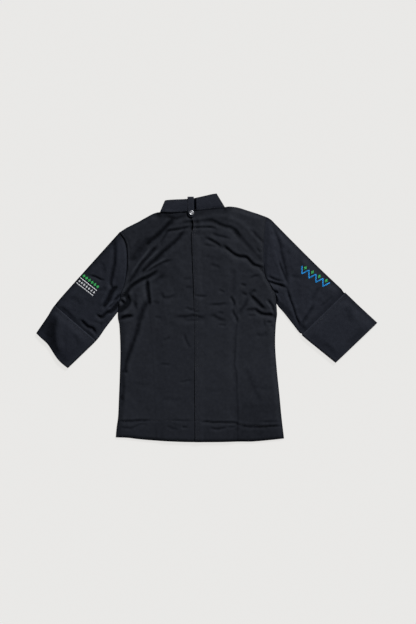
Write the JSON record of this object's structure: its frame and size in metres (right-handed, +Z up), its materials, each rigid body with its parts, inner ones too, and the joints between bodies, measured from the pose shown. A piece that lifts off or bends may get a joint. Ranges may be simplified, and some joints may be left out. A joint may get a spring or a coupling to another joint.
{
  "type": "chef jacket",
  "caption": "Black twill chef jacket laid face down and smoothed flat, with a stand collar, an apron tab, darts and three-quarter sleeves with turned-back cuffs.",
  "frame": {"origin": "on the surface that the jacket lies on, below the centre of its bounding box", "axes": "+Z up from the surface, +Y from the hem towards the collar, -X towards the wearer's left sleeve"},
  "size_m": [1.0892, 0.7954, 0.0124],
  "materials": {
    "twill": "matte",
    "stud_metal": "satin",
    "sewing_thread": "matte",
    "green_thread": "satin",
    "white_thread": "satin",
    "blue_thread": "satin"
  },
  "bodies": {
    "root": {"back_left": "twill", "back_right": "twill", "front_left": "twill", "front_right": "twill", "sleeve_left_back": "twill", "sleeve_left_front": "twill", "cuff_left_back": "twill", "cuff_left_front": "twill", "sleeve_right_back": "twill", "sleeve_right_front": "twill", "cuff_right_back": "twill", "cuff_right_front": "twill", "collar_back": "twill", "collar_front_left": "twill", "collar_front_right": "twill", "apron_tab": "twill", "neck_stud": "stud_metal", "front_stud_1": "stud_metal", "front_stud_2": "stud_metal", "front_stud_3": "stud_metal", "front_stud_4": "stud_metal", "front_stud_5": "stud_metal", "front_stud_6": "stud_metal"}
  },
  "joints": []
}
